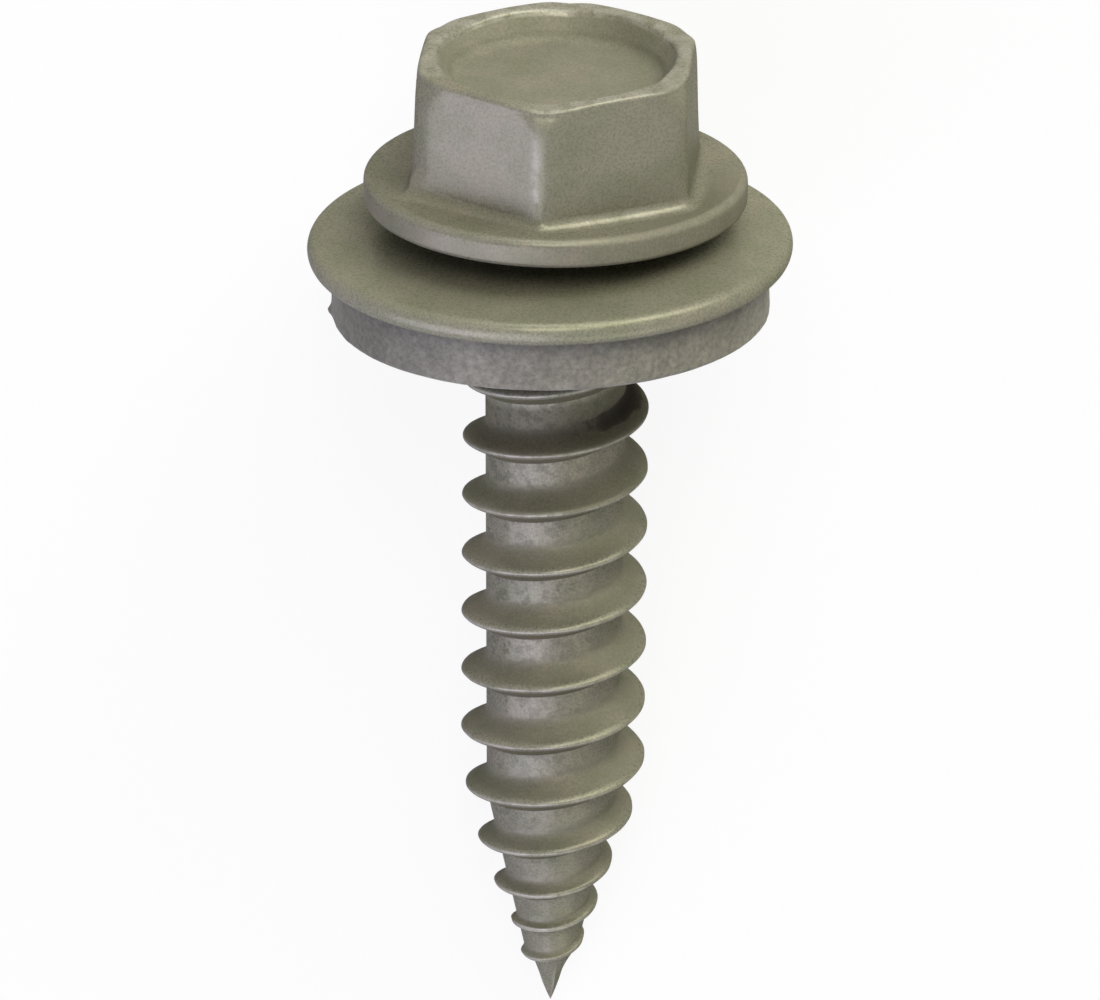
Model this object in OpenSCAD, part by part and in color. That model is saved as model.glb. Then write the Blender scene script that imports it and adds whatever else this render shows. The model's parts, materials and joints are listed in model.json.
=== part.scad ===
// Self-tapping roofing screw: dished hex head with a flange, and a captive sealing washer.
// The screw is drawn along +Z with the underside of its flange at z = 0 and its tip below.
// It is then laid on its side, on the rim of its washer and on the thread near its point.

/* [Thread] */
// Length from the underside of the flange to the tip
screw_length = 25.1; // [21:0.1:38]
// Diameter over the crests of the full thread
thread_d = 5.32; // [5:0.02:6]
// Diameter of the core where the thread begins
core_top_d = 4.06; // [3.6:0.02:4.3]
// Diameter of the core where the point begins
core_end_d = 3.8; // [3.4:0.02:4.2]
// Rise of one turn of the full thread
pitch = 1.814; // [1.5:0.002:2.1]
// Width of the flat along the crest
crest_w = 0.14; // [0.08:0.01:0.24]
// Slope of the flanks, from square across the axis
flank_deg = 29; // [22:1:32]
// Turns in which the thread grows to its full height below the neck
run_in = 0.6; // [0.3:0.05:0.9]
// Turns in which the thread dies away at the tip
run_out = 0.5; // [0.3:0.05:0.9]
// Side on which a crest passes the start of the point, from +X
thread_turn = 0; // [-180:1:180]

/* [Point] */
// Length of the point, from the last full crest to the tip
point_length = 7.88; // [6.5:0.02:10]
// Length past the start of the point at which the core begins to taper
core_hold = 1.1; // [0.4:0.05:2]
// Length of the plain cone at the tip
tip_length = 1.9; // [1.6:0.05:2.6]
// Diameter at the base of the plain cone
tip_d = 1.6; // [1.2:0.02:2]
// Bare length from the end of the thread to the tip
bare_tip = 1.36; // [1.2:0.02:1.6]
// Rise of the last turn
tip_pitch = 0.9; // [0.7:0.02:1.3]
// Diameter over the crests at the end of the thread
tip_crest_d = 1.7; // [1.4:0.02:2.2]
// Fullness of the point's outline, where 1 is a straight cone
point_swell = 1.2; // [1:0.01:1.4]

/* [Head] */
// Height of the head from the underside of the flange
head_height = 4.48; // [3.6:0.01:5.4]
// Width of the hex across its flats
hex_af = 7.68; // [7:0.02:8.4]
// Diameter over the rounded corners of the hex
corner_d = 8.72; // [8.5:0.02:9.2]
// Diameter of the head's top edge
top_d = 8.04; // [7.4:0.02:8.4]
// Height over which the corners round off below the top
crown_height = 1.55; // [0.6:0.05:2]
// Turn of the hex from having a corner at the front
hex_turn = -5.2; // [-30:0.1:30]
// Diameter of the dish in the top
dish_d = 6.9; // [5.5:0.02:7.3]
// Diameter of the dish's floor
dish_floor_d = 6.36; // [4:0.02:6.8]
// Depth of the dish
dish_depth = 0.9; // [0.3:0.01:1.6]
// Width and height of the bevel where the hex meets the flange
hex_bevel = 0.16; // [0.08:0.01:0.25]

/* [Flange and neck] */
// Diameter of the flange
flange_d = 10.88; // [10.2:0.01:12]
// Thickness of the flange at its rim
flange_t = 0.76; // [0.6:0.01:1]
// Rounding of the flange's rim, above and below
flange_round = 0.25; // [0.1:0.01:0.28]
// Rise of the flange's top from the rim to the hex
flange_rise = 0.4; // [0.2:0.01:0.7]
// Diameter of the plain neck that the washer turns on
neck_d = 4.6; // [4.4:0.02:4.9]
// Length of the cone between the neck and the core
neck_cone = 0.25; // [0.1:0.01:0.4]
// Length of the neck that shows below the seal
neck_show = 0.06; // [0.02:0.01:0.5]

/* [Sealing washer] */
// Diameter of the metal washer
washer_d = 13.78; // [12.4:0.02:19]
// Thickness of the metal washer
washer_t = 0.7; // [0.4:0.01:1]
// Rise of the washer's dome from its rim to its hole
dome_rise = 0.45; // [0:0.01:0.8]
// Play between the flange and the top of the dome
washer_play = 0.58; // [0.3:0.01:1.2]
// Diameter of the rubber seal
seal_d = 12.44; // [10.5:0.02:12.6]
// Height of the seal's side
seal_t = 1.74; // [1.2:0.01:3]
// Bevel along the lower edge of the seal
seal_edge = 0.15; // [0.05:0.01:0.4]
// Radial clearance of the seal on the neck
seal_clear = 0.25; // [0.02:0.01:0.3]
// Radial clearance of the metal washer on the neck
washer_clear = 0.3; // [0.2:0.01:0.5]
// Radial room that the lead-in below the seal's hole leaves round the thread
lead_in_room = 0.12; // [0.06:0.01:0.3]

/* [Hidden] */
$fn = 96;

// Columns of the thread's surface in one turn, and the points of one thread section
columns = 36;
section_points = 7;
// Share of the flank's height that the root fillet takes up, and the least height of a crest
root_share = 0.2;
crest_least = 0.05;
// Ledge that the neck's cone leaves round the core, and how far the core runs up into the neck
core_ledge = 0.05;
core_embed = 0.15;

// Heights of the sealing washer's faces
rim_z = -washer_play - dome_rise - washer_t / 2;
rim_round = washer_t / 2;
rim_centre_r = washer_d / 2 - rim_round;
washer_hole_r = neck_d / 2 + washer_clear;
seal_hole_r = neck_d / 2 + seal_clear;
function washer_underside(r) =
    rim_z - rim_round + dome_rise * (rim_centre_r - r) / (rim_centre_r - washer_hole_r);
seal_bottom = washer_underside(seal_d / 2) - seal_t;
neck_end = seal_bottom - neck_show;

// Heights of the point
point_z = point_length - screw_length;
core_taper_z = point_z - core_hold;
tip_z = tip_length - screw_length;
thread_end_z = bare_tip - screw_length;

// Turns are counted down the axis from the start of the point. There the rise shrinks evenly, turn by turn.
point_turns = 2 * (point_z - thread_end_z) / (pitch + tip_pitch);
rise_loss = (pitch - tip_pitch) / point_turns;
function crest_z(turn) = point_z - pitch * turn + (turn > 0 ? rise_loss * turn * turn / 2 : 0);
function root_z(turn) = (crest_z(turn) + crest_z(turn - 1)) / 2;

// Radius of the core and of the crests at height z
function core_r(z) =
    z > core_taper_z ? core_end_d / 2 + (core_top_d - core_end_d) / 2
        * (z - core_taper_z) / (neck_end - core_taper_z)
    : z > tip_z ? tip_d / 2 + (core_end_d - tip_d) / 2 * (z - tip_z) / (core_taper_z - tip_z)
    : tip_d / 2 * (z + screw_length) / tip_length;
function crest_r(z) =
    z > point_z ? thread_d / 2
    : thread_d / 2 - (thread_d - tip_crest_d) / 2
        * pow((point_z - z) / (point_z - thread_end_z), point_swell);

// The thread's surface is a strip that winds down the core and meets itself one turn below
full_foot = crest_w / 2 + (thread_d - core_top_d) / 2 * tan(flank_deg) * (1 + root_share);
// Columns start on a half step, so that the underside of the lying thread is the middle of a facet
first_turn = (floor(((point_z - neck_end - core_embed) / pitch - 1 / 2) * columns) + 1 / 2) / columns;
run_in_turn = (point_z - neck_end + full_foot) / pitch;
thread_steps = ceil((point_turns - first_turn) * columns);
steps = thread_steps + columns;
function turn_at(step) = first_turn + step / columns;
function thread_height(turn) =
    max(0, min(1, (turn - run_in_turn) / run_in, (point_turns - turn) / run_out));
function on_side(r, turn, z) =
    [r * cos(thread_turn - 360 * turn), r * sin(thread_turn - 360 * turn), z];
function on_core(turn, z) = on_side(core_r(z), turn, z);
end_z = root_z(turn_at(steps));

// One section of the strip, from the root above the crest down to the foot below it
function thread_section(turn) =
    let (z = crest_z(turn),
         deep = max(crest_least, crest_r(z) - core_r(z)),
         flank = deep * tan(flank_deg),
         tall = thread_height(turn) * deep,
         foot = crest_w / 2 + flank * (1 + root_share),
         fillet = crest_w / 2 + flank * (1 - root_share),
         fillet_r = core_r(z) + tall * root_share)
    [on_core(turn, root_z(turn)),
     on_core(turn, z + foot),
     on_side(fillet_r, turn, z + fillet),
     on_side(core_r(z) + tall, turn, z + crest_w / 2),
     on_side(core_r(z) + tall, turn, z - crest_w / 2),
     on_side(fillet_r, turn, z - fillet),
     on_core(turn, z - foot)];
// In the last turn the strip is bare and narrows until it ends in a level ring
function bare_section(turn) =
    [for (k = [0:section_points - 1])
        on_core(turn, root_z(turn) + (end_z - root_z(turn)) * k / section_points)];
function strip_index(step, k) =
    k == section_points ? strip_index(step + columns, 0)
    : step < steps ? step * section_points + k : steps * section_points + (step - steps) % columns;

module threaded_core() {
    strip = [for (step = [0:steps - 1])
        each step < thread_steps ? thread_section(turn_at(step)) : bare_section(turn_at(step))];
    end_ring = [for (step = [steps:steps + columns - 1]) on_core(turn_at(step), end_z)];
    top = len(strip) + columns;
    tip = top + 1;
    top_point = [0, 0, root_z(first_turn) + core_embed];
    side_faces = [for (step = [0:steps - 1], k = [0:section_points - 1])
        let (a = strip_index(step, k), b = strip_index(step + 1, step + 1 < steps ? k : 0),
             c = strip_index(step + 1, step + 1 < steps ? k + 1 : 0), d = strip_index(step, k + 1))
        each step + 1 < steps ? [[b, a, d], [b, d, c]] : [[b, a, d]]];
    top_faces = [for (step = [0:columns - 1]) [top, strip_index(step, 0), strip_index(step + 1, 0)]];
    step_faces = [for (k = [0:section_points - 1]) [top, strip_index(0, k + 1), strip_index(0, k)]];
    tip_faces = [for (step = [steps:steps + columns - 1])
        [tip, strip_index(step + 1, 0), strip_index(step, 0)]];
    polyhedron(concat(strip, end_ring, [top_point, [0, 0, -screw_length]]),
        concat(side_faces, top_faces, step_faces, tip_faces));
}

module hex(height, af) {
    cylinder(h = height, d = af / cos(30), $fn = 6);
}

module hex_head() {
    corner_r = corner_d / 2;
    crown_step = (corner_d - top_d) / 2;
    crown_round = (crown_step * crown_step + crown_height * crown_height) / (2 * crown_step);
    crown_z = head_height - crown_height;
    difference() {
        intersection() {
            rotate([0, 0, hex_turn - 30]) hex(head_height, hex_af);
            rotate_extrude() intersection() {
                square([corner_r, head_height]);
                union() {
                    square([corner_r, crown_z]);
                    square([corner_r - crown_round, head_height]);
                    translate([corner_r - crown_round, crown_z]) circle(crown_round);
                }
            }
        }
        translate([0, 0, head_height - dish_depth])
            cylinder(h = 2 * dish_depth, d1 = dish_floor_d, d2 = 2 * dish_d - dish_floor_d);
    }
    bevel_z = flange_t + flange_rise;
    bevel_af = hex_af + 4 * hex_bevel;
    rotate([0, 0, hex_turn - 30]) {
        translate([0, 0, flange_round]) hex(bevel_z - hex_bevel - flange_round, bevel_af);
        translate([0, 0, bevel_z - hex_bevel])
            cylinder(h = 2 * hex_bevel, d1 = bevel_af / cos(30), d2 = hex_af / cos(30), $fn = 6);
    }
}

module flange() {
    flange_r = flange_d / 2;
    face_r = flange_r - flange_round;
    rotate_extrude() {
        for (z = [flange_round, flange_t - flange_round]) translate([face_r, z]) circle(flange_round);
        polygon([[0, 0], [face_r, 0], [flange_r, flange_round], [flange_r, flange_t - flange_round],
            [face_r, flange_t], [hex_af / 2, flange_t + flange_rise], [0, flange_t + flange_rise]]);
    }
}

module neck() {
    rotate_extrude() polygon([[0, flange_t / 2], [neck_d / 2, flange_t / 2],
        [neck_d / 2, neck_end + neck_cone], [core_r(neck_end) + core_ledge, neck_end], [0, neck_end]]);
}

// The screw leans over until a crest near its point touches the floor with the washer's rim
function lay_on(p) =
    acos(-rim_round / norm([rim_centre_r - p.y, rim_z - p.z])) - atan2(rim_z - p.z, rim_centre_r - p.y);
lay_deg = min([for (step = [columns:thread_steps], edge = [-crest_w / 2, crest_w / 2])
    let (turn = turn_at(step), z = crest_z(turn)) lay_on(on_side(crest_r(z), turn, z + edge))]);
lay_height = rim_centre_r * cos(lay_deg) - rim_z * sin(lay_deg) + rim_round;
lay_middle = ((screw_length - head_height) * cos(lay_deg) - top_d / 2 * sin(lay_deg)) / 2;

module laid_down() {
    translate([0, lay_middle, lay_height]) rotate([lay_deg - 90, 0, 0]) children();
}

module screw() {
    color("#87856f") laid_down() {
        hex_head();
        flange();
        neck();
        threaded_core();
    }
}

module metal_washer() {
    color("#848368") laid_down() rotate_extrude() {
        translate([rim_centre_r, rim_z]) circle(rim_round);
        polygon([[rim_centre_r, rim_z - rim_round], [rim_centre_r, rim_z + rim_round],
            [washer_hole_r, rim_z + rim_round + dome_rise], [washer_hole_r, rim_z - rim_round + dome_rise]]);
    }
}

module rubber_seal() {
    seal_r = seal_d / 2;
    lead_in_r = thread_d / 2 + lead_in_room;
    color("#6d6a65") laid_down() rotate_extrude()
        polygon([[seal_r, washer_underside(seal_r)], [seal_r, seal_bottom + seal_edge],
            [seal_r - seal_edge, seal_bottom], [lead_in_r, seal_bottom],
            [seal_hole_r, seal_bottom + lead_in_r - seal_hole_r], [seal_hole_r, washer_underside(seal_hole_r)]]);
}

screw();
metal_washer();
rubber_seal();
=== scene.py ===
import json
import math
import bmesh
import bpy
import numpy as np
from mathutils import Matrix, Vector, noise


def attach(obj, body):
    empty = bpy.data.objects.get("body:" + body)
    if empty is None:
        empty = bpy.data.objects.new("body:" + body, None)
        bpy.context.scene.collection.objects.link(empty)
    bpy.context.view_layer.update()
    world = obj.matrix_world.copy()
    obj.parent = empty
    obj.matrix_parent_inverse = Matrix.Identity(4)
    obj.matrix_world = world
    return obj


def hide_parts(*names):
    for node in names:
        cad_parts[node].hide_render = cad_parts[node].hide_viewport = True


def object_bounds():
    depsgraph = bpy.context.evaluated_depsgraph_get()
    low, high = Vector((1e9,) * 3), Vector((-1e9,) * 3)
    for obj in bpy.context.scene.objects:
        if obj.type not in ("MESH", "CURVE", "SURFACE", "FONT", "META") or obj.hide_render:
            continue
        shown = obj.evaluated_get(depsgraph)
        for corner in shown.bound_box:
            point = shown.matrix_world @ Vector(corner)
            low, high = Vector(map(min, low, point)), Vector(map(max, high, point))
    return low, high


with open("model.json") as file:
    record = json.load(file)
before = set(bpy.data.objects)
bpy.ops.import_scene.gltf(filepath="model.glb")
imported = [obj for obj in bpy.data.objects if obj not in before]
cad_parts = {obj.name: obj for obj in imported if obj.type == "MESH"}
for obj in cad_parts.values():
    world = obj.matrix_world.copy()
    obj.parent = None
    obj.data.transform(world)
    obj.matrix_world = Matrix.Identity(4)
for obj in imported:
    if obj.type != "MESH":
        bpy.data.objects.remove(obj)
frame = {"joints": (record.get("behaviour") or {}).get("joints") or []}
cad_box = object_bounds()

# The stage. The screw lies on a pale floor, on the rim of its washer and on its thread.
# Soft lamps stand round it: warm ones over the head and to the right, cool ones low to the left.
# The eye looks down on it, square to the screw but a little from the head's side.
spin = next(joint for joint in frame["joints"] if joint["name"] == "washer_spin")
seat = Vector(spin["pos_m"])
along = Vector(spin["axis"])
right = Vector((1, 0, 0))
back = along.cross(right)
MM = 0.001


def from_side(turn_deg, rise_deg):
    """Direction from the screw, turned to the right of its front and raised towards its head."""
    turn, rise = math.radians(turn_deg), math.radians(rise_deg)
    return math.cos(rise) * (math.sin(turn) * right - math.cos(turn) * back) + math.sin(rise) * along


def aim(thing, place, target, up):
    away = (place - target).normalized()
    across = up.cross(away).normalized()
    turned = Matrix((across, away.cross(across), away)).transposed()
    thing.matrix_world = Matrix.Translation(place) @ turned.to_4x4()
    bpy.context.scene.collection.objects.link(thing)


eye_rise_deg = 22.9
eye_roll_deg = 0.45
eye_distance = 0.2965
picture_width = 0.03152
picture_down = 9.26 * MM
picture_left = 0.138 * MM
picture_middle = seat - picture_down * along - picture_left * right
roll = math.radians(eye_roll_deg)
eye = bpy.data.objects.new("eye", bpy.data.cameras.new("eye"))
eye.data.sensor_width = 36
eye.data.lens = eye.data.sensor_width * eye_distance / picture_width
eye.data.clip_start = 0.01
eye.data.clip_end = 20
aim(eye, picture_middle + eye_distance * from_side(0, eye_rise_deg), picture_middle,
    math.cos(roll) * along - math.sin(roll) * right)
bpy.context.scene.camera = eye

floor_half = 3
floor_mesh = bpy.data.meshes.new("floor")
corners = [(x * floor_half, y * floor_half, cad_box[0].z) for x, y in ((-1, -1), (1, -1), (1, 1), (-1, 1))]
floor_mesh.from_pydata(corners, [], [(0, 1, 2, 3)])
floor = bpy.data.objects.new("floor", floor_mesh)
bpy.context.scene.collection.objects.link(floor)


def seen_ray(nodes, links):
    """1 for the rays that show the background: straight to the eye, mirrored or let through."""
    path = nodes.new("ShaderNodeLightPath")
    total = path.outputs["Is Camera Ray"]
    for name in ("Is Glossy Ray", "Is Transmission Ray"):
        either = nodes.new("ShaderNodeMath")
        either.operation = "MAXIMUM"
        links.new(total, either.inputs[0])
        links.new(path.outputs[name], either.inputs[1])
        total = either.outputs[0]
    return total


floor_white = (0.86, 0.86, 0.86, 1)
floor_glow_share = 0.9
floor_look = bpy.data.materials.new("pale_floor")
floor_look.use_nodes = True
nodes, links = floor_look.node_tree.nodes, floor_look.node_tree.links
nodes.clear()
paint = nodes.new("ShaderNodeBsdfDiffuse")
paint.inputs["Color"].default_value = floor_white
glow = nodes.new("ShaderNodeEmission")
glow_part = nodes.new("ShaderNodeMath")
glow_part.operation = "MULTIPLY"
glow_part.inputs[1].default_value = floor_glow_share
mix = nodes.new("ShaderNodeMixShader")
output = nodes.new("ShaderNodeOutputMaterial")
links.new(seen_ray(nodes, links), glow_part.inputs[0])
links.new(glow_part.outputs[0], mix.inputs["Fac"])
links.new(paint.outputs[0], mix.inputs[1])
links.new(glow.outputs[0], mix.inputs[2])
links.new(mix.outputs[0], output.inputs["Surface"])
floor.data.materials.append(floor_look)

sky = bpy.data.worlds.new("studio")
sky.use_nodes = True
bpy.context.scene.world = sky
nodes, links = sky.node_tree.nodes, sky.node_tree.links
links.new(seen_ray(nodes, links), nodes["Background"].inputs["Strength"])
nodes["Background"].inputs["Color"].default_value = (1, 1, 1, 1)


def lamp(name, turn_deg, rise_deg, width, height, watts, colour):
    light = bpy.data.lights.new(name, "AREA")
    light.shape = "ELLIPSE"
    light.size = width
    light.size_y = height
    light.energy = watts
    light.color = colour
    place = lamp_target + lamp_distance * from_side(turn_deg, rise_deg)
    aim(bpy.data.objects.new(name, light), place, lamp_target, along)


lamp_distance = 0.3
lamp_target = seat - 6 * MM * along
lamp("top_lamp", 0, 84, 0.16, 0.16, 0.19, (0.95, 0.95, 1.0))
lamp("front_lamp", 0, 42, 0.15, 0.15, 0.3, (1.0, 0.95, 0.86))
lamp("warm_lamp", 40, 56, 0.16, 0.16, 0.27, (0.98, 1.0, 0.8))
lamp("side_lamp", 80, 54, 0.16, 0.24, 0.36, (1.0, 0.97, 0.9))
lamp("low_lamp", 38, -42, 0.3, 0.2, 0.18, (1.0, 1.0, 0.8))
lamp("cool_lamp", -56, -24, 0.26, 0.24, 0.5, (0.71, 0.69, 1.0))
lamp("window_lamp", -19, -27, 0.2, 0.36, 0.5, (0.78, 0.76, 1.0))
bpy.context.scene.view_settings.view_transform = "Standard"

# The screw. One piece of steel wire, its head cold-headed between dies with a dished hex and a flange,
# its thread and point rolled. It is plated with a matte zinc coat that dries olive grey and finely grained.
columns = 180
same_place = 1e-7
no_width = 1e-8


def laid(points):
    """Points of the upright screw, in mm, laid down on the floor."""
    points = np.asarray(points, float) * MM
    return np.array(seat) + points @ np.array([right, back, along])


def turned_points(radius, height, angle):
    return np.stack([radius * np.cos(angle), radius * np.sin(angle), height + 0 * angle], -1)


def joined_piece(name, points, faces, marks):
    """A closed mesh. Corners that fall together are merged, and faces with no area go."""
    mesh = bpy.data.meshes.new(name)
    mesh.from_pydata(laid(points).tolist(), [], faces)
    for mark, values in marks.items():
        mesh.attributes.new(mark, "FLOAT", "POINT").data.foreach_set("value", values)
    shape = bmesh.new()
    shape.from_mesh(mesh)
    bmesh.ops.remove_doubles(shape, verts=shape.verts, dist=same_place)
    bmesh.ops.dissolve_degenerate(shape, edges=shape.edges, dist=no_width)
    bmesh.ops.recalc_face_normals(shape, faces=shape.faces)
    for face in shape.faces:
        face.smooth = True
    shape.to_mesh(mesh)
    shape.free()
    piece = bpy.data.objects.new(name, mesh)
    bpy.context.scene.collection.objects.link(piece)
    return piece


def band_faces(start, rows, across):
    """Quads between neighbouring rows of points, each row a closed ring."""
    return [(start + row * across + j, start + row * across + (j + 1) % across,
             start + (row + 1) * across + (j + 1) % across, start + (row + 1) * across + j)
            for row in range(rows - 1) for j in range(across)]


def arc(first_deg, last_deg, count):
    return np.radians(np.linspace(first_deg, last_deg, count))


# Thread and point, in mm, counted in turns down from the start of the point. The dies met a little
# out of line there, so the crests sag and are rolled unevenly
screw_length = 25.1
thread_r = 2.66
core_top_r = 2.03
core_end_r = 1.9
pitch = 1.814
crest_half = 0.07
flank_slope = math.tan(math.radians(29))
run_in = 0.6
run_out = 0.5
point_length = 7.88
core_hold = 1.1
tip_length = 1.9
tip_r = 0.8
bare_tip = 1.36
tip_pitch = 0.9
tip_crest_r = 0.85
point_swell = 1.12
sag_start = 0.9
sag_run = 0.8
point_sag = 0.08
front_sag = 0.12
point_rolled = (0, 0.05, 0.07, 0.115, -0.06, 0.06, -0.08, -0.08, -0.12, 0.05, 0.05)
tip_hollow = 0.18
hollow_length = 1.7
upper_root = 0.44
lower_root = 0.12
crest_round = 0.2
least_depth = 0.05
nick_share = 0.03
nicks_round = 3
nicks_per_mm = 2.3
neck_r = 2.3
neck_cone = 0.25
neck_end = -3.4935

point_z = point_length - screw_length
core_taper_z = point_z - core_hold
tip_z = tip_length - screw_length
thread_end_z = bare_tip - screw_length
point_turns = 2 * (point_z - thread_end_z) / (pitch + tip_pitch)
rise_loss = (pitch - tip_pitch) / point_turns


def crest_z(turn):
    sag = np.clip((turn - sag_start) / sag_run, 0, 1)
    in_front = np.maximum(0, np.sin(2 * np.pi * turn)) ** 2
    sag = sag * sag * (3 - 2 * sag) * (point_sag + front_sag * in_front)
    return point_z - pitch * turn + np.where(turn > 0, rise_loss * turn * turn / 2, 0) - sag


def root_z(turn):
    return (crest_z(turn) + crest_z(turn - 1)) / 2


def core_r(z):
    stations = [-screw_length, tip_z, core_taper_z, neck_end]
    plain_r = np.interp(z, stations, [0, tip_r, core_end_r, core_top_r])
    down = np.clip((hollow_length - screw_length - z) / hollow_length, 0, 1)
    return plain_r * (1 - tip_hollow * np.sin(np.pi * down))


def crest_r(z):
    taper = np.clip((point_z - z) / (point_z - thread_end_z), 0, 1)
    return thread_r - (thread_r - tip_crest_r) * taper ** point_swell


def bent(start, control, end, count):
    """Points of a bend between two straight stretches."""
    t = np.linspace(0, 1, count)[:, None]
    return (1 - t) ** 2 * np.array(start) + 2 * t * (1 - t) * np.array(control) + t ** 2 * np.array(end)


def half_section(root_share):
    """Half a thread section: share of the flank out from the crest's edge, and of the thread's height."""
    root_bend = bent((1 + root_share, 0), (1, 0), (1 - root_share, root_share), 5)
    flank_rows = [(1 - up, up) for up in (0.5, 0.68)]
    crest_bend = bent((crest_round, 1 - crest_round), (0, 1), (-crest_round, 1), 4)
    return np.vstack([root_bend, flank_rows, crest_bend])


top_turn = (point_z - neck_end + pitch / 2) / pitch
end_turn = point_turns + 0.25
end_z = float(root_z(np.array(end_turn + 1)))
steps = round((end_turn + 3 - top_turn) * columns)
turn = top_turn - 1 + np.arange(steps + 1) / columns
angle = -2 * np.pi * turn
middle_z = crest_z(turn)
rolled = np.interp(turn, np.arange(len(point_rolled)) / 2, point_rolled)
deep = np.maximum(least_depth, crest_r(middle_z) + rolled - core_r(middle_z))
full_foot = crest_half + (thread_r - core_top_r) * flank_slope * (1 + upper_root)
run_in_turn = (point_z - neck_end + full_foot) / pitch
tall = deep * np.clip(np.minimum((turn - run_in_turn) / run_in, (point_turns - turn) / run_out), 0, 1)
nick = np.array([noise.noise(Vector((nicks_round * math.cos(a), nicks_round * math.sin(a), nicks_per_mm * z)))
                 for a, z in zip(angle, middle_z)])
tall = tall * (1 + nick_share * nick)


def from_crest(out, room):
    """Distance along the screw from the crest's middle, no further than halfway to the next turn."""
    return np.clip(crest_half + deep * flank_slope * out, 0.2 * crest_half, room)


above = root_z(turn) - middle_z
below = middle_z - root_z(turn + 1)
thread_rows = [(root_z(turn), 0 * turn)]
thread_rows.append((middle_z + (above + from_crest(1 + upper_root, above)) / 2, 0 * turn))
for out, up in half_section(upper_root):
    thread_rows.append((middle_z + from_crest(out, above), up * tall))
for out, up in half_section(lower_root)[::-1]:
    thread_rows.append((middle_z - from_crest(out, below), up * tall))
thread_rows.append((middle_z - (below + from_crest(1 + lower_root, below)) / 2, 0 * turn))
thread_points = []
for z, proud in thread_rows:
    inside = np.clip(z, end_z, neck_end)
    thread_points.append(turned_points(core_r(inside) + np.where(inside == z, proud, 0), inside, angle))
section = len(thread_rows)
screw_points = [np.stack(thread_points, 1).reshape(-1, 3)]
screw_faces = []


def strip_corner(step, k):
    return step * section + k if k < section else min(step + columns, steps) * section


for step in range(steps):
    for k in range(section):
        if k + 1 == section and step + columns > steps:
            continue
        screw_faces.append((strip_corner(step, k), strip_corner(step + 1, k),
                            strip_corner(step + 1, k + 1), strip_corner(step, k + 1)))

# The plain end of the tip
tip_rows = 16
ring_angle = angle[:columns]
start = sum(len(p) for p in screw_points)
for row in range(tip_rows):
    z = end_z + (-screw_length - end_z) * row / tip_rows
    screw_points.append(turned_points(core_r(z), z, ring_angle))
screw_faces += band_faces(start, tip_rows, columns)
end_row = start + (tip_rows - 1) * columns
screw_points.append(np.array([[0, 0, -screw_length]]))
tip_end = start + tip_rows * columns
screw_faces += [(end_row + j, end_row + (j + 1) % columns, tip_end) for j in range(columns)]

# Head, flange and neck, in rows of radius, height and painted highlight from the middle of the dish outwards
# and down.
# The die fills its corners badly, so the rim is rounded off and lower there, and it dips to the front left
head_height = 4.53
hex_half = 3.84
corner_rounds = (0.36, 0.95, 0.5, 0.45, 0.5, 0.5)
foot_rounds = (0.36, 0.15, 0.5, 0.45, 0.5, 0.5)
hex_turn = math.radians(-90 - 5)
top_r = 4.0
crown_height = 1.55
crown_power = 2.9
crown_blend = 0.08
corner_drop = 0.1
rim_dip = 0.26
dip_turn = math.radians(-90 - 15)
rear_dip = 0.07
rear_dip_turn = math.radians(135)
rear_dip_width = 0.5
dish_r = 3.34
dish_floor_r = 3.08
dish_depth = 0.9
floor_bend = 0.4
rim_in = 0.2
rim_out = 0.14
base_bend = 0.33
base_flare = 0.1
side_foot = 1.6
foot_spread = 0.1
flange_r = 5.44
flange_t = 0.83
flange_rise = -0.15
flange_top_bend = 0.24
flange_under_bend = 0.16
neck_bend = 0.15
corner_pull = 0.75
head_shift = 0.055
shift_run = 0.4

sector = columns // 6
share = np.arange(columns) % sector / sector
crowded = share - corner_pull * np.sin(2 * np.pi * share) / (2 * np.pi)
head_angle = hex_turn - np.pi / 3 * (np.arange(columns) // sector + crowded)
nearest = round(float((head_angle[0] - ring_angle[0]) / (2 * np.pi / columns)))
head_angle = np.roll(head_angle, -nearest)
from_corner = np.pi / 6 - np.abs(np.mod(head_angle - hex_turn, np.pi / 3) - np.pi / 6)
from_flat = np.pi / 6 - from_corner
corner_number = np.round((hex_turn - head_angle) / (np.pi / 3)).astype(int) % 6


def hex_outline(rounds):
    """Radius of a hexagon round the head, each corner with its own bend, and of its corners."""
    corner_round = np.array(rounds)[corner_number]
    corner_middle = (hex_half - corner_round) / math.cos(math.pi / 6)
    flat_end = np.arctan((hex_half - corner_round) * math.tan(math.pi / 6) / hex_half)
    on_corner = corner_middle * np.cos(from_corner) + np.sqrt(
        np.maximum(0, corner_round ** 2 - (corner_middle * np.sin(from_corner)) ** 2))
    outline = np.where(from_flat < flat_end, hex_half / np.cos(from_flat), on_corner)
    return outline, corner_middle + corner_round


def angle_off(angle, towards):
    """Angle from a direction, at most half a turn to either side."""
    return np.angle(np.exp(1j * (angle - towards)))


hex_r, corner_r = hex_outline(corner_rounds)
foot_r = hex_outline(foot_rounds)[0] + foot_spread
dipped = (1 + np.cos(head_angle - dip_turn)) / 2
rim_z = head_height - corner_drop * (from_flat / (np.pi / 6)) ** 2 - rim_dip * dipped ** 1.5
rim_z -= rear_dip * np.exp(-(angle_off(head_angle, rear_dip_turn) / rear_dip_width) ** 2)


def soft_min(a, b, width):
    return (a + b - np.sqrt((a - b) ** 2 + width ** 2)) / 2


def side_r(z):
    up = np.clip((z - rim_z + crown_height) / crown_height, 0, 1)
    drawn = np.clip((z - side_foot) / (head_height - side_foot), 0, 1)
    side = hex_r + (foot_r - hex_r) * (1 - drawn) ** 2
    return soft_min(side, corner_r + 0.02 - (corner_r - top_r) * up ** crown_power, crown_blend)


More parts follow.
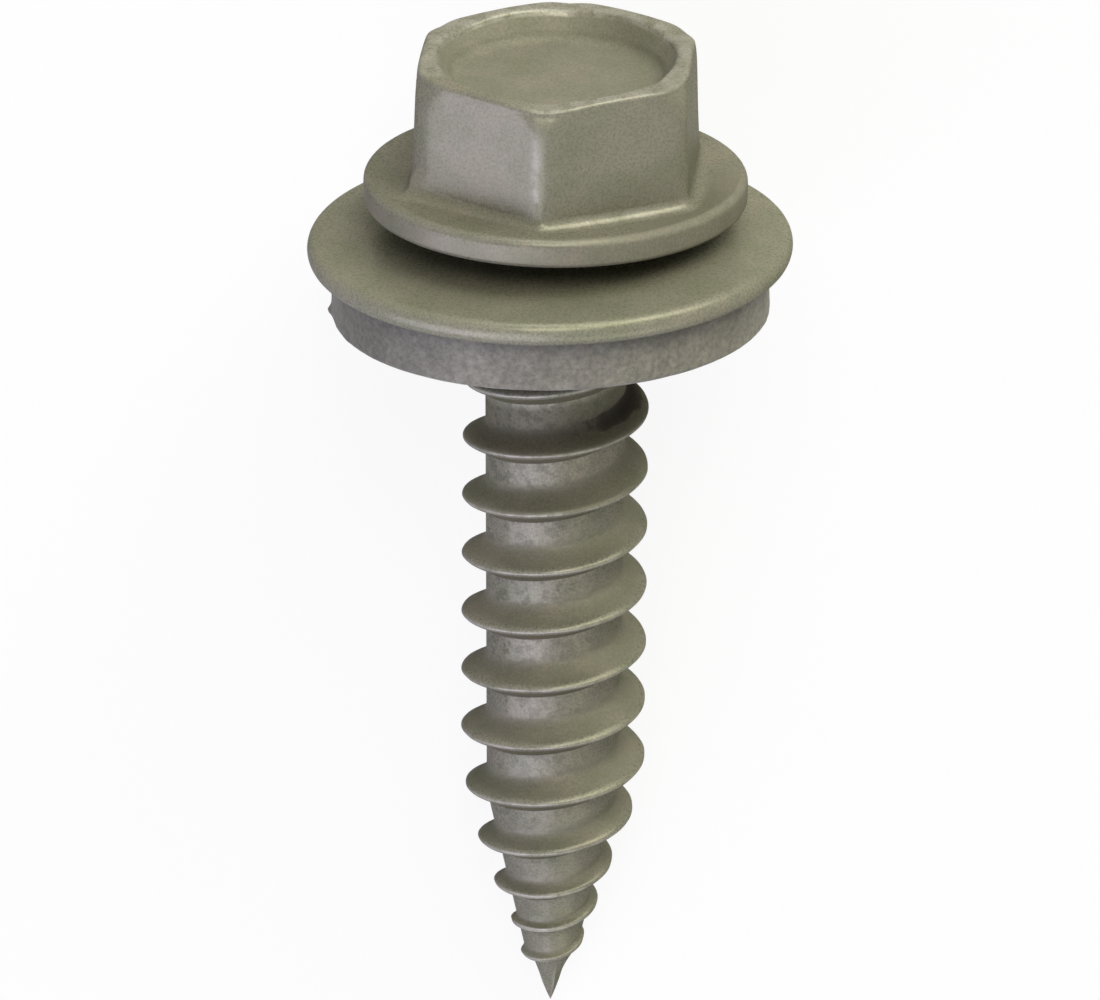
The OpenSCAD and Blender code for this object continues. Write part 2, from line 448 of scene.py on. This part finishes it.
def flange_top(r):
    face_r = flange_r - flange_top_bend
    return flange_t + flange_rise * (face_r - r) / (face_r - hex_half)


def facing(turn_deg, width):
    """1 where the head faces a direction, fading to each side of it."""
    return np.exp(-(angle_off(head_angle, math.radians(turn_deg)) / width) ** 4)


# Painted highlights on the head's rim, hex foot, flange edge and front corner, strongest where they face the
# light
rim_highlight = 0.75 * (1 - facing(-128, 0.5))
base_highlight = 0.6 * facing(-65, 0.45)
edge_highlight = 0.2 * facing(-105, 0.5)
corner_highlight = 0.7 * np.exp(-((head_angle - hex_turn + np.radians(2.5)) / np.radians(1.6)) ** 2)
head_rows = []
floor_z = head_height - dish_depth
wall_lean = math.atan((dish_r - dish_floor_r) / dish_depth)
flat_floor_r = dish_floor_r - floor_bend
for r in np.linspace(0.4, flat_floor_r, 8):
    head_rows.append((r, floor_z, 0))
for a in np.linspace(0, math.pi / 2 - wall_lean, 7):
    head_rows.append((flat_floor_r + floor_bend * math.sin(a), floor_z + floor_bend * (1 - math.cos(a)), 0))
low_r, low_z, _ = head_rows[-1]
high_r = dish_r + rim_in * (1 - math.cos(wall_lean))
high_z = rim_z - rim_in * (1 - math.sin(wall_lean))
for share in np.linspace(0, 1, 7)[1:-1]:
    head_rows.append((low_r + (high_r - low_r) * share, low_z + (high_z - low_z) * share, 0))
dish_rows = len(head_rows)
for a in np.linspace(wall_lean, math.pi / 2, 7):
    head_rows.append((dish_r + rim_in * (1 - math.cos(a)), rim_z - rim_in * (1 - math.sin(a)), rim_highlight))
side_top_z = rim_z - rim_out
for a in arc(90, 0, 8):
    head_rows.append((side_r(side_top_z) - rim_out * (1 - math.cos(a)), rim_z - rim_out * (1 - math.sin(a)),
                      rim_highlight * math.sin(a)))
for share in np.linspace(0, 1, 26)[1:]:
    z = side_top_z * (1 - share) + side_foot * share
    head_rows.append((side_r(z), z, corner_highlight * min(1, 2 * share)))
flange_lean = math.atan(flange_rise / (flange_r - flange_top_bend - hex_half))
end_a = math.pi / 2 - flange_lean
left_corner = angle_off(head_angle, hex_turn - np.pi / 3)
base_r = base_bend + base_flare * np.exp(-(left_corner / 0.35) ** 2)
bend_end_r = foot_r + base_r * (1 - math.cos(end_a))
bend_z = flange_top(bend_end_r) + base_r * math.sin(end_a)
for a in np.linspace(0, end_a, 8):
    head_rows.append((foot_r + base_r * (1 - math.cos(a)), bend_z - base_r * math.sin(a),
                      base_highlight * max(0, math.sin(2 * a))))
flange_row = len(head_rows)
flange_top_rows = 5
flange_bend_rows = 6
rim_r = flange_r - flange_top_bend
for share in np.linspace(0, 1, flange_top_rows + 1)[1:]:
    r = bend_end_r + (rim_r - bend_end_r) * share
    head_rows.append((r, flange_top(r), 0))
for a in arc(90, 0, flange_bend_rows + 1)[1:]:
    head_rows.append((rim_r + flange_top_bend * math.cos(a), flange_t - flange_top_bend * (1 - math.sin(a)),
                      edge_highlight * math.sin(a)))
for a in arc(0, -90, 8):
    head_rows.append((flange_r - flange_under_bend * (1 - math.cos(a)),
                      flange_under_bend * (1 + math.sin(a)), 0))
for r in np.linspace(flange_r - flange_under_bend, neck_r + neck_bend, 5)[1:]:
    head_rows.append((r, 0, 0))
for a in arc(90, 0, 5)[1:]:
    head_rows.append((neck_r + neck_bend * (1 - math.cos(a)), neck_bend * (math.sin(a) - 1), 0))
round_rows = len(head_rows)
for z in np.linspace(-0.5, neck_end + neck_cone, 6):
    head_rows.append((neck_r, z, 0))
head_rows.append((core_top_r, neck_end, 0))
head_start = start = sum(len(p) for p in screw_points)
for row, (r, z, highlight_share) in enumerate(head_rows):
    row_angle = head_angle if row < round_rows else ring_angle
    screw_points.append(turned_points(r + 0 * row_angle, z + 0 * row_angle, row_angle))
screw_faces += band_faces(start, len(head_rows), columns)
screw_points.append(np.array([[0, 0, floor_z]]))
middle = start + len(head_rows) * columns
screw_faces += [(start + j, start + (j + 1) % columns, middle) for j in range(columns)]

# The dies nip the tip off to four blunt ridges
screw_points = np.vstack(screw_points)
heights = screw_points[:, 2]
ridge_turn = math.radians(-90 + 20)
ridge_length = 1.4
ridge_share = 0.8
ridge_flat = 0.88
ridge_rise = 1.8
round_angle = np.arctan2(screw_points[:, 1], screw_points[:, 0])
from_face = np.abs(np.mod(round_angle - ridge_turn, np.pi / 2) - np.pi / 4)
nipped = ridge_share * np.clip(ridge_rise * (ridge_length - screw_length - heights) / ridge_length, 0, 1)
screw_points[:, :2] *= 1 + (nipped * (ridge_flat / np.cos(from_face) - 1))[:, None]

# The blow that headed the wire left the head a little to one side
screw_points[:, 0] -= head_shift * np.clip(1 + heights / shift_run, 0, 1)

# Marks for the finish, each a share per point. On the thread they follow the turn and the place in the
# section, counted from the root above a crest over the crest to the root below
turns = np.repeat(turn, section)
place = np.tile(np.arange(section), len(turn))
on_thread = slice(0, len(turns))
crest_place = (section - 1) / 2
upper = (place >= 2) & (place <= crest_place)
on_core = (place < 3) | (place > section - 3)
lee = (place > crest_place + 3) & (place < section - 2)
grown = np.repeat(tall, section) > 0.05
in_root = np.where(grown, np.clip(np.minimum((place - 1.5) / 2, (8.5 - place) / 2), 0, 1), 0)
marks = {name: np.zeros(len(screw_points)) for name in ("scale", "painted_highlight", "painted_shade", "scuff", "matte")}


def near_turn(middle, width):
    return np.exp(-((turns - middle) / width) ** 2)


def between_turns(start, run_up, end, run_down):
    return np.clip(np.minimum((turns - start) / run_up, (end - turns) / run_down), 0, 1)


def less_to_right(share, least):
    return np.clip(1 - share * np.cos(2 * np.pi * turns), least, 1)


# Black scale is left on the first turn under the washer, most of it to the right; the band on the upper flank
# just under the seal is painted shadow of the seal, in the same dark colour
deeper = np.clip((9 - place) / 4, 0, 1)
scale_and_seal_shade = 0.52 * deeper * near_turn(-5.95, 0.15) + 0.2 * near_turn(-6.04, 0.08)
# Painted shadow of the seal on the upper flank just below it
scale_and_seal_shade += 0.4 * (place < crest_place - 3) * near_turn(-6.72, 0.16)
marks["scale"][on_thread] = np.where(upper, scale_and_seal_shade, 0)

# Painted highlights: the crests, the tip's ridges and the head's edges are lightened where they catch the
# light, less to the right on the thread
from_edge = np.abs(place - crest_place - 0.5)
crest_highlight = np.interp(from_edge, [0.5, 1.5, 1.6], [1, 0.4, 0]) * less_to_right(0.6, 0.4)
marks["painted_highlight"][on_thread] = np.where(grown, crest_highlight, 0)
marks["painted_highlight"] += 0.8 * np.clip(nipped, 0, 1) * np.clip((from_face - 0.62) / 0.1, 0, 1)
marks["painted_highlight"][head_start:-1] = np.concatenate([highlight_share + 0 * head_angle for r, z, highlight_share in head_rows])

# Painted shade darkens the lee below the crests, the upper flanks of the first two turns under the washer,
# the roots, part of the flange's top and the flange's rim; the core just below the first crest is darker as
# well
first = between_turns(-6.5, 0.3, -5.45, 0.12)
second = between_turns(-5.6, 0.2, -4.3, 0.5)
from_collar_band = np.where(place < 2, np.abs(turns + 5.75), np.where(place == section - 1, np.abs(turns + 6.75), 1))
thread_shade = np.where(grown & lee, 1, 0.0)
thread_shade += np.where(upper & (place < crest_place), np.maximum(0.57 * first, 0.25 * second), 0)
thread_shade += 0.6 * np.clip((0.45 - from_collar_band) / 0.2, 0, 1) + 0.08 * in_root
marks["painted_shade"][on_thread] = thread_shade
flange_start = head_start + flange_row * columns
flange_shade = [0.35 * facing(-30, 0.45)] * flange_top_rows + [0 * head_angle] * 4
flange_shade += [0.28 - 0.18 * facing(-128, 0.5)] * 8
marks["painted_shade"][flange_start:flange_start + len(flange_shade) * columns] = np.concatenate(flange_shade)

# The core is smeared by the dies, less towards the point. The painted-shade places, the scale, the roots and
# the dish are dull
smeared = np.clip((6 - turns) / 8, 0, 1) * less_to_right(0.9, 0.1)
marks["scuff"][on_thread] = np.where(on_core, smeared, 0)
marks["matte"] = np.clip(marks["painted_shade"] + marks["scale"], 0, 1)
marks["matte"][on_thread] += 0.6 * in_root
bend_start = flange_start + flange_top_rows * columns
bend_end = bend_start + flange_bend_rows * columns
marks["matte"][bend_start:bend_end] = np.tile(0.8 * facing(-45, 0.6), flange_bend_rows)
marks["matte"][head_start:head_start + dish_rows * columns] = 0.7
screw = joined_piece("roofing_screw", screw_points, screw_faces, marks)


def noise_at(nodes, links, coords, per_mm, detail, roughness=0.55):
    speckle = nodes.new("ShaderNodeTexNoise")
    speckle.inputs["Scale"].default_value = per_mm / MM
    speckle.inputs["Detail"].default_value = detail
    speckle.inputs["Roughness"].default_value = roughness
    links.new(coords, speckle.inputs["Vector"])
    return speckle.outputs["Fac"]


def ramp(nodes, links, value, stops):
    """Colours or greys over the range of a value."""
    scale = nodes.new("ShaderNodeValToRGB")
    while len(scale.color_ramp.elements) < len(stops):
        scale.color_ramp.elements.new(0.5)
    for element, (at, colour) in zip(scale.color_ramp.elements, stops):
        element.position = at
        element.color = (*colour, 1) if len(colour) == 3 else (*colour * 3, 1)
    links.new(value, scale.inputs["Fac"])
    return scale.outputs["Color"]


def blend(nodes, links, kind, amount, first, second):
    mixed = nodes.new("ShaderNodeMix")
    mixed.data_type = "RGBA"
    mixed.blend_type = kind
    for socket, value in zip((mixed.inputs[0], mixed.inputs[6], mixed.inputs[7]), (amount, first, second)):
        if isinstance(value, (int, float, tuple)):
            socket.default_value = value
        else:
            links.new(value, socket)
    return mixed.outputs[2]


def zinc_look(name, tone):
    look = bpy.data.materials.new(name)
    look.use_nodes = True
    nodes, links = look.node_tree.nodes, look.node_tree.links
    shader = nodes["Principled BSDF"]
    coords = nodes.new("ShaderNodeTexCoord").outputs["Object"]
    cloud = noise_at(nodes, links, coords, 0.7, 3)
    grain = noise_at(nodes, links, coords, 13, 2, 0.6)
    levels = ((0.92, 0.94, 0.9), (1, 1, 1), (1.1, 1.06, 1.07))
    shades = [tuple(part * level for part, level in zip(tone, change)) for change in levels]
    tint = ramp(nodes, links, cloud, list(zip((0.35, 0.5, 0.65), shades)))
    sparkle = ramp(nodes, links, grain, [(0.32, (0.38,)), (0.5, (0.5,)), (0.68, (0.62,))])
    colour = blend(nodes, links, "OVERLAY", 0.55, tint, sparkle)
    links.new(colour, shader.inputs["Base Color"])
    links.new(ramp(nodes, links, grain, [(0.3, (0.25,)), (0.7, (0.31,))]), shader.inputs["Roughness"])
    shader.inputs["Metallic"].default_value = 0.25
    shader.inputs["Specular IOR Level"].default_value = 0
    shader.inputs["Specular Tint"].default_value = (0.35, 0.35, 0.35, 1)
    bump = nodes.new("ShaderNodeBump")
    bump.inputs["Strength"].default_value = 0.3
    bump.inputs["Distance"].default_value = 0.02 * MM
    links.new(grain, bump.inputs["Height"])
    links.new(bump.outputs["Normal"], shader.inputs["Normal"])
    return look


zinc = zinc_look("zinc_plate", (0.225, 0.22, 0.164))
nodes, links = zinc.node_tree.nodes, zinc.node_tree.links
coords = nodes.new("ShaderNodeTexCoord").outputs["Object"]
colour = nodes["Principled BSDF"].inputs["Base Color"].links[0].from_socket


def mark_value(nodes, name):
    mark = nodes.new("ShaderNodeAttribute")
    mark.attribute_name = name
    return mark.outputs["Fac"]


highlight_colour = (0.36, 0.35, 0.29, 1)
shade_tint = (0.55, 0.53, 0.48, 1)
dull = (0.8, 0.8, 0.8, 1)
scale_and_shade_colour = (0.062, 0.055, 0.045, 1)
smears = ramp(nodes, links, noise_at(nodes, links, coords, 2.4, 3, 0.6),
              [(0.4, (0.75,)), (0.47, (1,)), (0.56, (1,)), (0.63, (0.8,))])
colour = blend(nodes, links, "MULTIPLY", mark_value(nodes, "scuff"), colour, smears)
bright = nodes.new("ShaderNodeMath")
bright.operation = "MULTIPLY"
links.new(mark_value(nodes, "painted_highlight"), bright.inputs[0])
highlight_breakup = ramp(nodes, links, noise_at(nodes, links, coords, 2.5, 3), [(0.36, (0.15,)), (0.58, (1,))])
links.new(highlight_breakup, bright.inputs[1])
# Painted highlight: the highlight mark mixes in a lighter colour, broken up by noise
colour = blend(nodes, links, "MIX", bright.outputs[0], colour, highlight_colour)
# Painted shade: the shade mark multiplies the colour by a dark tint
colour = blend(nodes, links, "MULTIPLY", mark_value(nodes, "painted_shade"), colour, shade_tint)
gloss = nodes["Principled BSDF"].inputs["Roughness"].links[0].from_socket
gloss = blend(nodes, links, "MIX", mark_value(nodes, "matte"), gloss, dull)
links.new(gloss, nodes["Principled BSDF"].inputs["Roughness"])
patchy = nodes.new("ShaderNodeMath")
patchy.operation = "MULTIPLY_ADD"
patchy.inputs[1].default_value = 0.6
links.new(noise_at(nodes, links, coords, 2.4, 5, 0.7), patchy.inputs[0])
links.new(mark_value(nodes, "scale"), patchy.inputs[2])
cover = ramp(nodes, links, patchy.outputs[0], [(0.5, (0,)), (0.6, (0.7,)), (0.86, (1,))])
# Dark scale, and painted shadow just under the seal
colour = blend(nodes, links, "MIX", cover, colour, scale_and_shade_colour)
links.new(colour, nodes["Principled BSDF"].inputs["Base Color"])
screw.data.materials.append(zinc)
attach(screw, "screw")
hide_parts("screw")

# The metal washer. A disc punched from sheet steel and pressed to a shallow dome, with rolled-over edges.
# It hangs loose round the neck under the flange, and carries the same zinc coat as the screw.
washer_r = 6.89
washer_t = 0.7
dome_rise = 0.45
washer_play = 0.58
washer_hole_r = 2.6
washer_hang = 0.2
washer_tip = math.radians(1.1)
washer_nod = math.tan(math.radians(0.6))
nod_height = 0.85
washer_round = washer_t / 2
washer_rim_z = -washer_play - dome_rise - washer_round
washer_rim_r = washer_r - washer_round
washer_columns = 240
washer_angle = -2 * np.pi * np.arange(washer_columns) / washer_columns


def dome_z(r):
    return washer_rim_z + dome_rise * (washer_rim_r - r) / (washer_rim_r - washer_hole_r)


def ringed_piece(name, rows, angle, ripple=None, marks=None):
    """A closed ring of revolution through rows of radius and height, hung to one side of the neck."""
    rows = rows + rows[:1]
    points = np.vstack([turned_points(r + 0 * angle, z, angle) for r, z in rows])
    if ripple is not None:
        points = ripple(points)
    nod = np.clip(1 + (points[:, 2] - washer_rim_z + washer_round) / nod_height, -1, 1)
    points[:, 2] += washer_nod * nod * points[:, 1]
    across, height = points[:, 0].copy(), points[:, 2] - washer_rim_z
    points[:, 0] = across * math.cos(washer_tip) - height * math.sin(washer_tip) - washer_hang
    points[:, 2] = across * math.sin(washer_tip) + height * math.cos(washer_tip) + washer_rim_z
    return joined_piece(name, points, band_faces(0, len(rows), len(angle)), marks(points) if marks else {})


washer_rows = []
hole_bend = 0.12
for r in np.linspace(washer_hole_r + hole_bend, washer_rim_r, 14):
    washer_rows.append((r, dome_z(r) + washer_round))
for a in arc(90, -90, 15)[1:-1]:
    squared = abs(math.cos(a)) ** 0.8
    washer_rows.append((washer_rim_r + washer_round * squared, washer_rim_z + washer_round * math.sin(a)))
for r in np.linspace(washer_rim_r, washer_hole_r, 10):
    washer_rows.append((r, dome_z(r) - washer_round))
washer_rows.append((washer_hole_r, dome_z(washer_hole_r) + washer_round - hole_bend))
washer = ringed_piece("metal_washer_disc", washer_rows, washer_angle)
washer.data.materials.append(zinc_look("zinc_washer", (0.245, 0.242, 0.177)))
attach(washer, "sealing_washer")
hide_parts("metal_washer")

# The rubber seal. A ring of grey rubber bonded under the metal washer and cut out together with it.
# Its side is a rough cut edge, with a nub of flash where the cut began.
seal_r = 6.22
seal_t = 1.74
seal_edge = 0.15
seal_neck = 0.12
seal_neck_height = 0.5
seal_hole_r = 2.55
lead_in_r = 2.78
seal_top = dome_z(seal_r) - washer_round
seal_bottom = seal_top - seal_t
seal_rows = [(seal_r - seal_neck, dome_z(seal_r - seal_neck) - washer_round)]
for z in np.linspace(seal_top - 0.1, seal_bottom + seal_edge, 24):
    seal_rows.append((seal_r - seal_neck * max(0, 1 - (seal_top - z) / seal_neck_height) ** 2, z))
for a in arc(0, -90, 6)[1:]:
    seal_rows.append((seal_r - seal_edge * (1 - math.cos(a)), seal_bottom + seal_edge * (1 + math.sin(a))))
for r in np.linspace(seal_r - seal_edge, lead_in_r, 6)[1:]:
    seal_rows.append((r, seal_bottom))
seal_rows.append((seal_hole_r, seal_bottom + lead_in_r - seal_hole_r))
for r in np.linspace(seal_hole_r, seal_r - seal_neck, 5)[:-1]:
    seal_rows.append((r, dome_z(r) - washer_round))
nub_angle = math.radians(-178)
nub_z = seal_bottom + 0.2
nub_proud = 0.13
nub_half_turn = 0.04
nub_half_height = 0.12
coarse_rough = 0.016
fine_rough = 0.01


def cut_edge(points):
    """Roughens the side of the seal and raises its nub."""
    r = np.hypot(points[:, 0], points[:, 1])
    angle = np.arctan2(points[:, 1], points[:, 0])
    rough = np.array([noise.noise(Vector(p) * 2.2) for p in points]) * coarse_rough
    rough += np.array([noise.noise(Vector(p) * 7) for p in points]) * fine_rough
    off = angle_off(angle, nub_angle) / nub_half_turn
    nub = nub_proud * np.exp(-off ** 2 - ((points[:, 2] - nub_z) / nub_half_height) ** 2)
    outer = (r > seal_r - seal_neck) & (points[:, 2] < seal_top - 0.06)
    grown = np.where(outer, (rough + nub) / r, 0)
    points[:, :2] *= 1 + grown[:, None]
    return points


def shaded_left(points):
    """Painted shade: the seal is darker to the left, where it faces away from the light."""
    return {"painted_left_shade": np.clip((-points[:, 0] / seal_r - 0.45) / 0.4, 0, 1)}


seal = ringed_piece("rubber_ring", seal_rows, washer_angle, cut_edge, shaded_left)


def rubber_look(name, dark, mid, pale):
    look = bpy.data.materials.new(name)
    look.use_nodes = True
    nodes, links = look.node_tree.nodes, look.node_tree.links
    shader = nodes["Principled BSDF"]
    coords = nodes.new("ShaderNodeTexCoord").outputs["Object"]
    cloud = noise_at(nodes, links, coords, 1.1, 4)
    grain = noise_at(nodes, links, coords, 6, 3, 0.7)
    tint = ramp(nodes, links, cloud, [(0.3, dark), (0.5, mid), (0.7, pale)])
    speck = ramp(nodes, links, grain, [(0.36, (0.3,)), (0.5, (0.5,)), (0.66, (0.72,))])
    colour = blend(nodes, links, "OVERLAY", 0.6, tint, speck)
    # Painted shade on the seal's left end
    colour = blend(nodes, links, "MULTIPLY", mark_value(nodes, "painted_left_shade"), colour, (0.56, 0.56, 0.54, 1))
    links.new(colour, shader.inputs["Base Color"])
    shader.inputs["Roughness"].default_value = 0.75
    bump = nodes.new("ShaderNodeBump")
    bump.inputs["Strength"].default_value = 0.5
    bump.inputs["Distance"].default_value = 0.03 * MM
    links.new(grain, bump.inputs["Height"])
    links.new(bump.outputs["Normal"], shader.inputs["Normal"])
    return look


dark, mid, pale = (0.172, 0.166, 0.13), (0.207, 0.2, 0.158), (0.247, 0.238, 0.19)
seal.data.materials.append(rubber_look("grey_rubber", dark, mid, pale))
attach(seal, "sealing_washer")
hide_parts("rubber_seal")
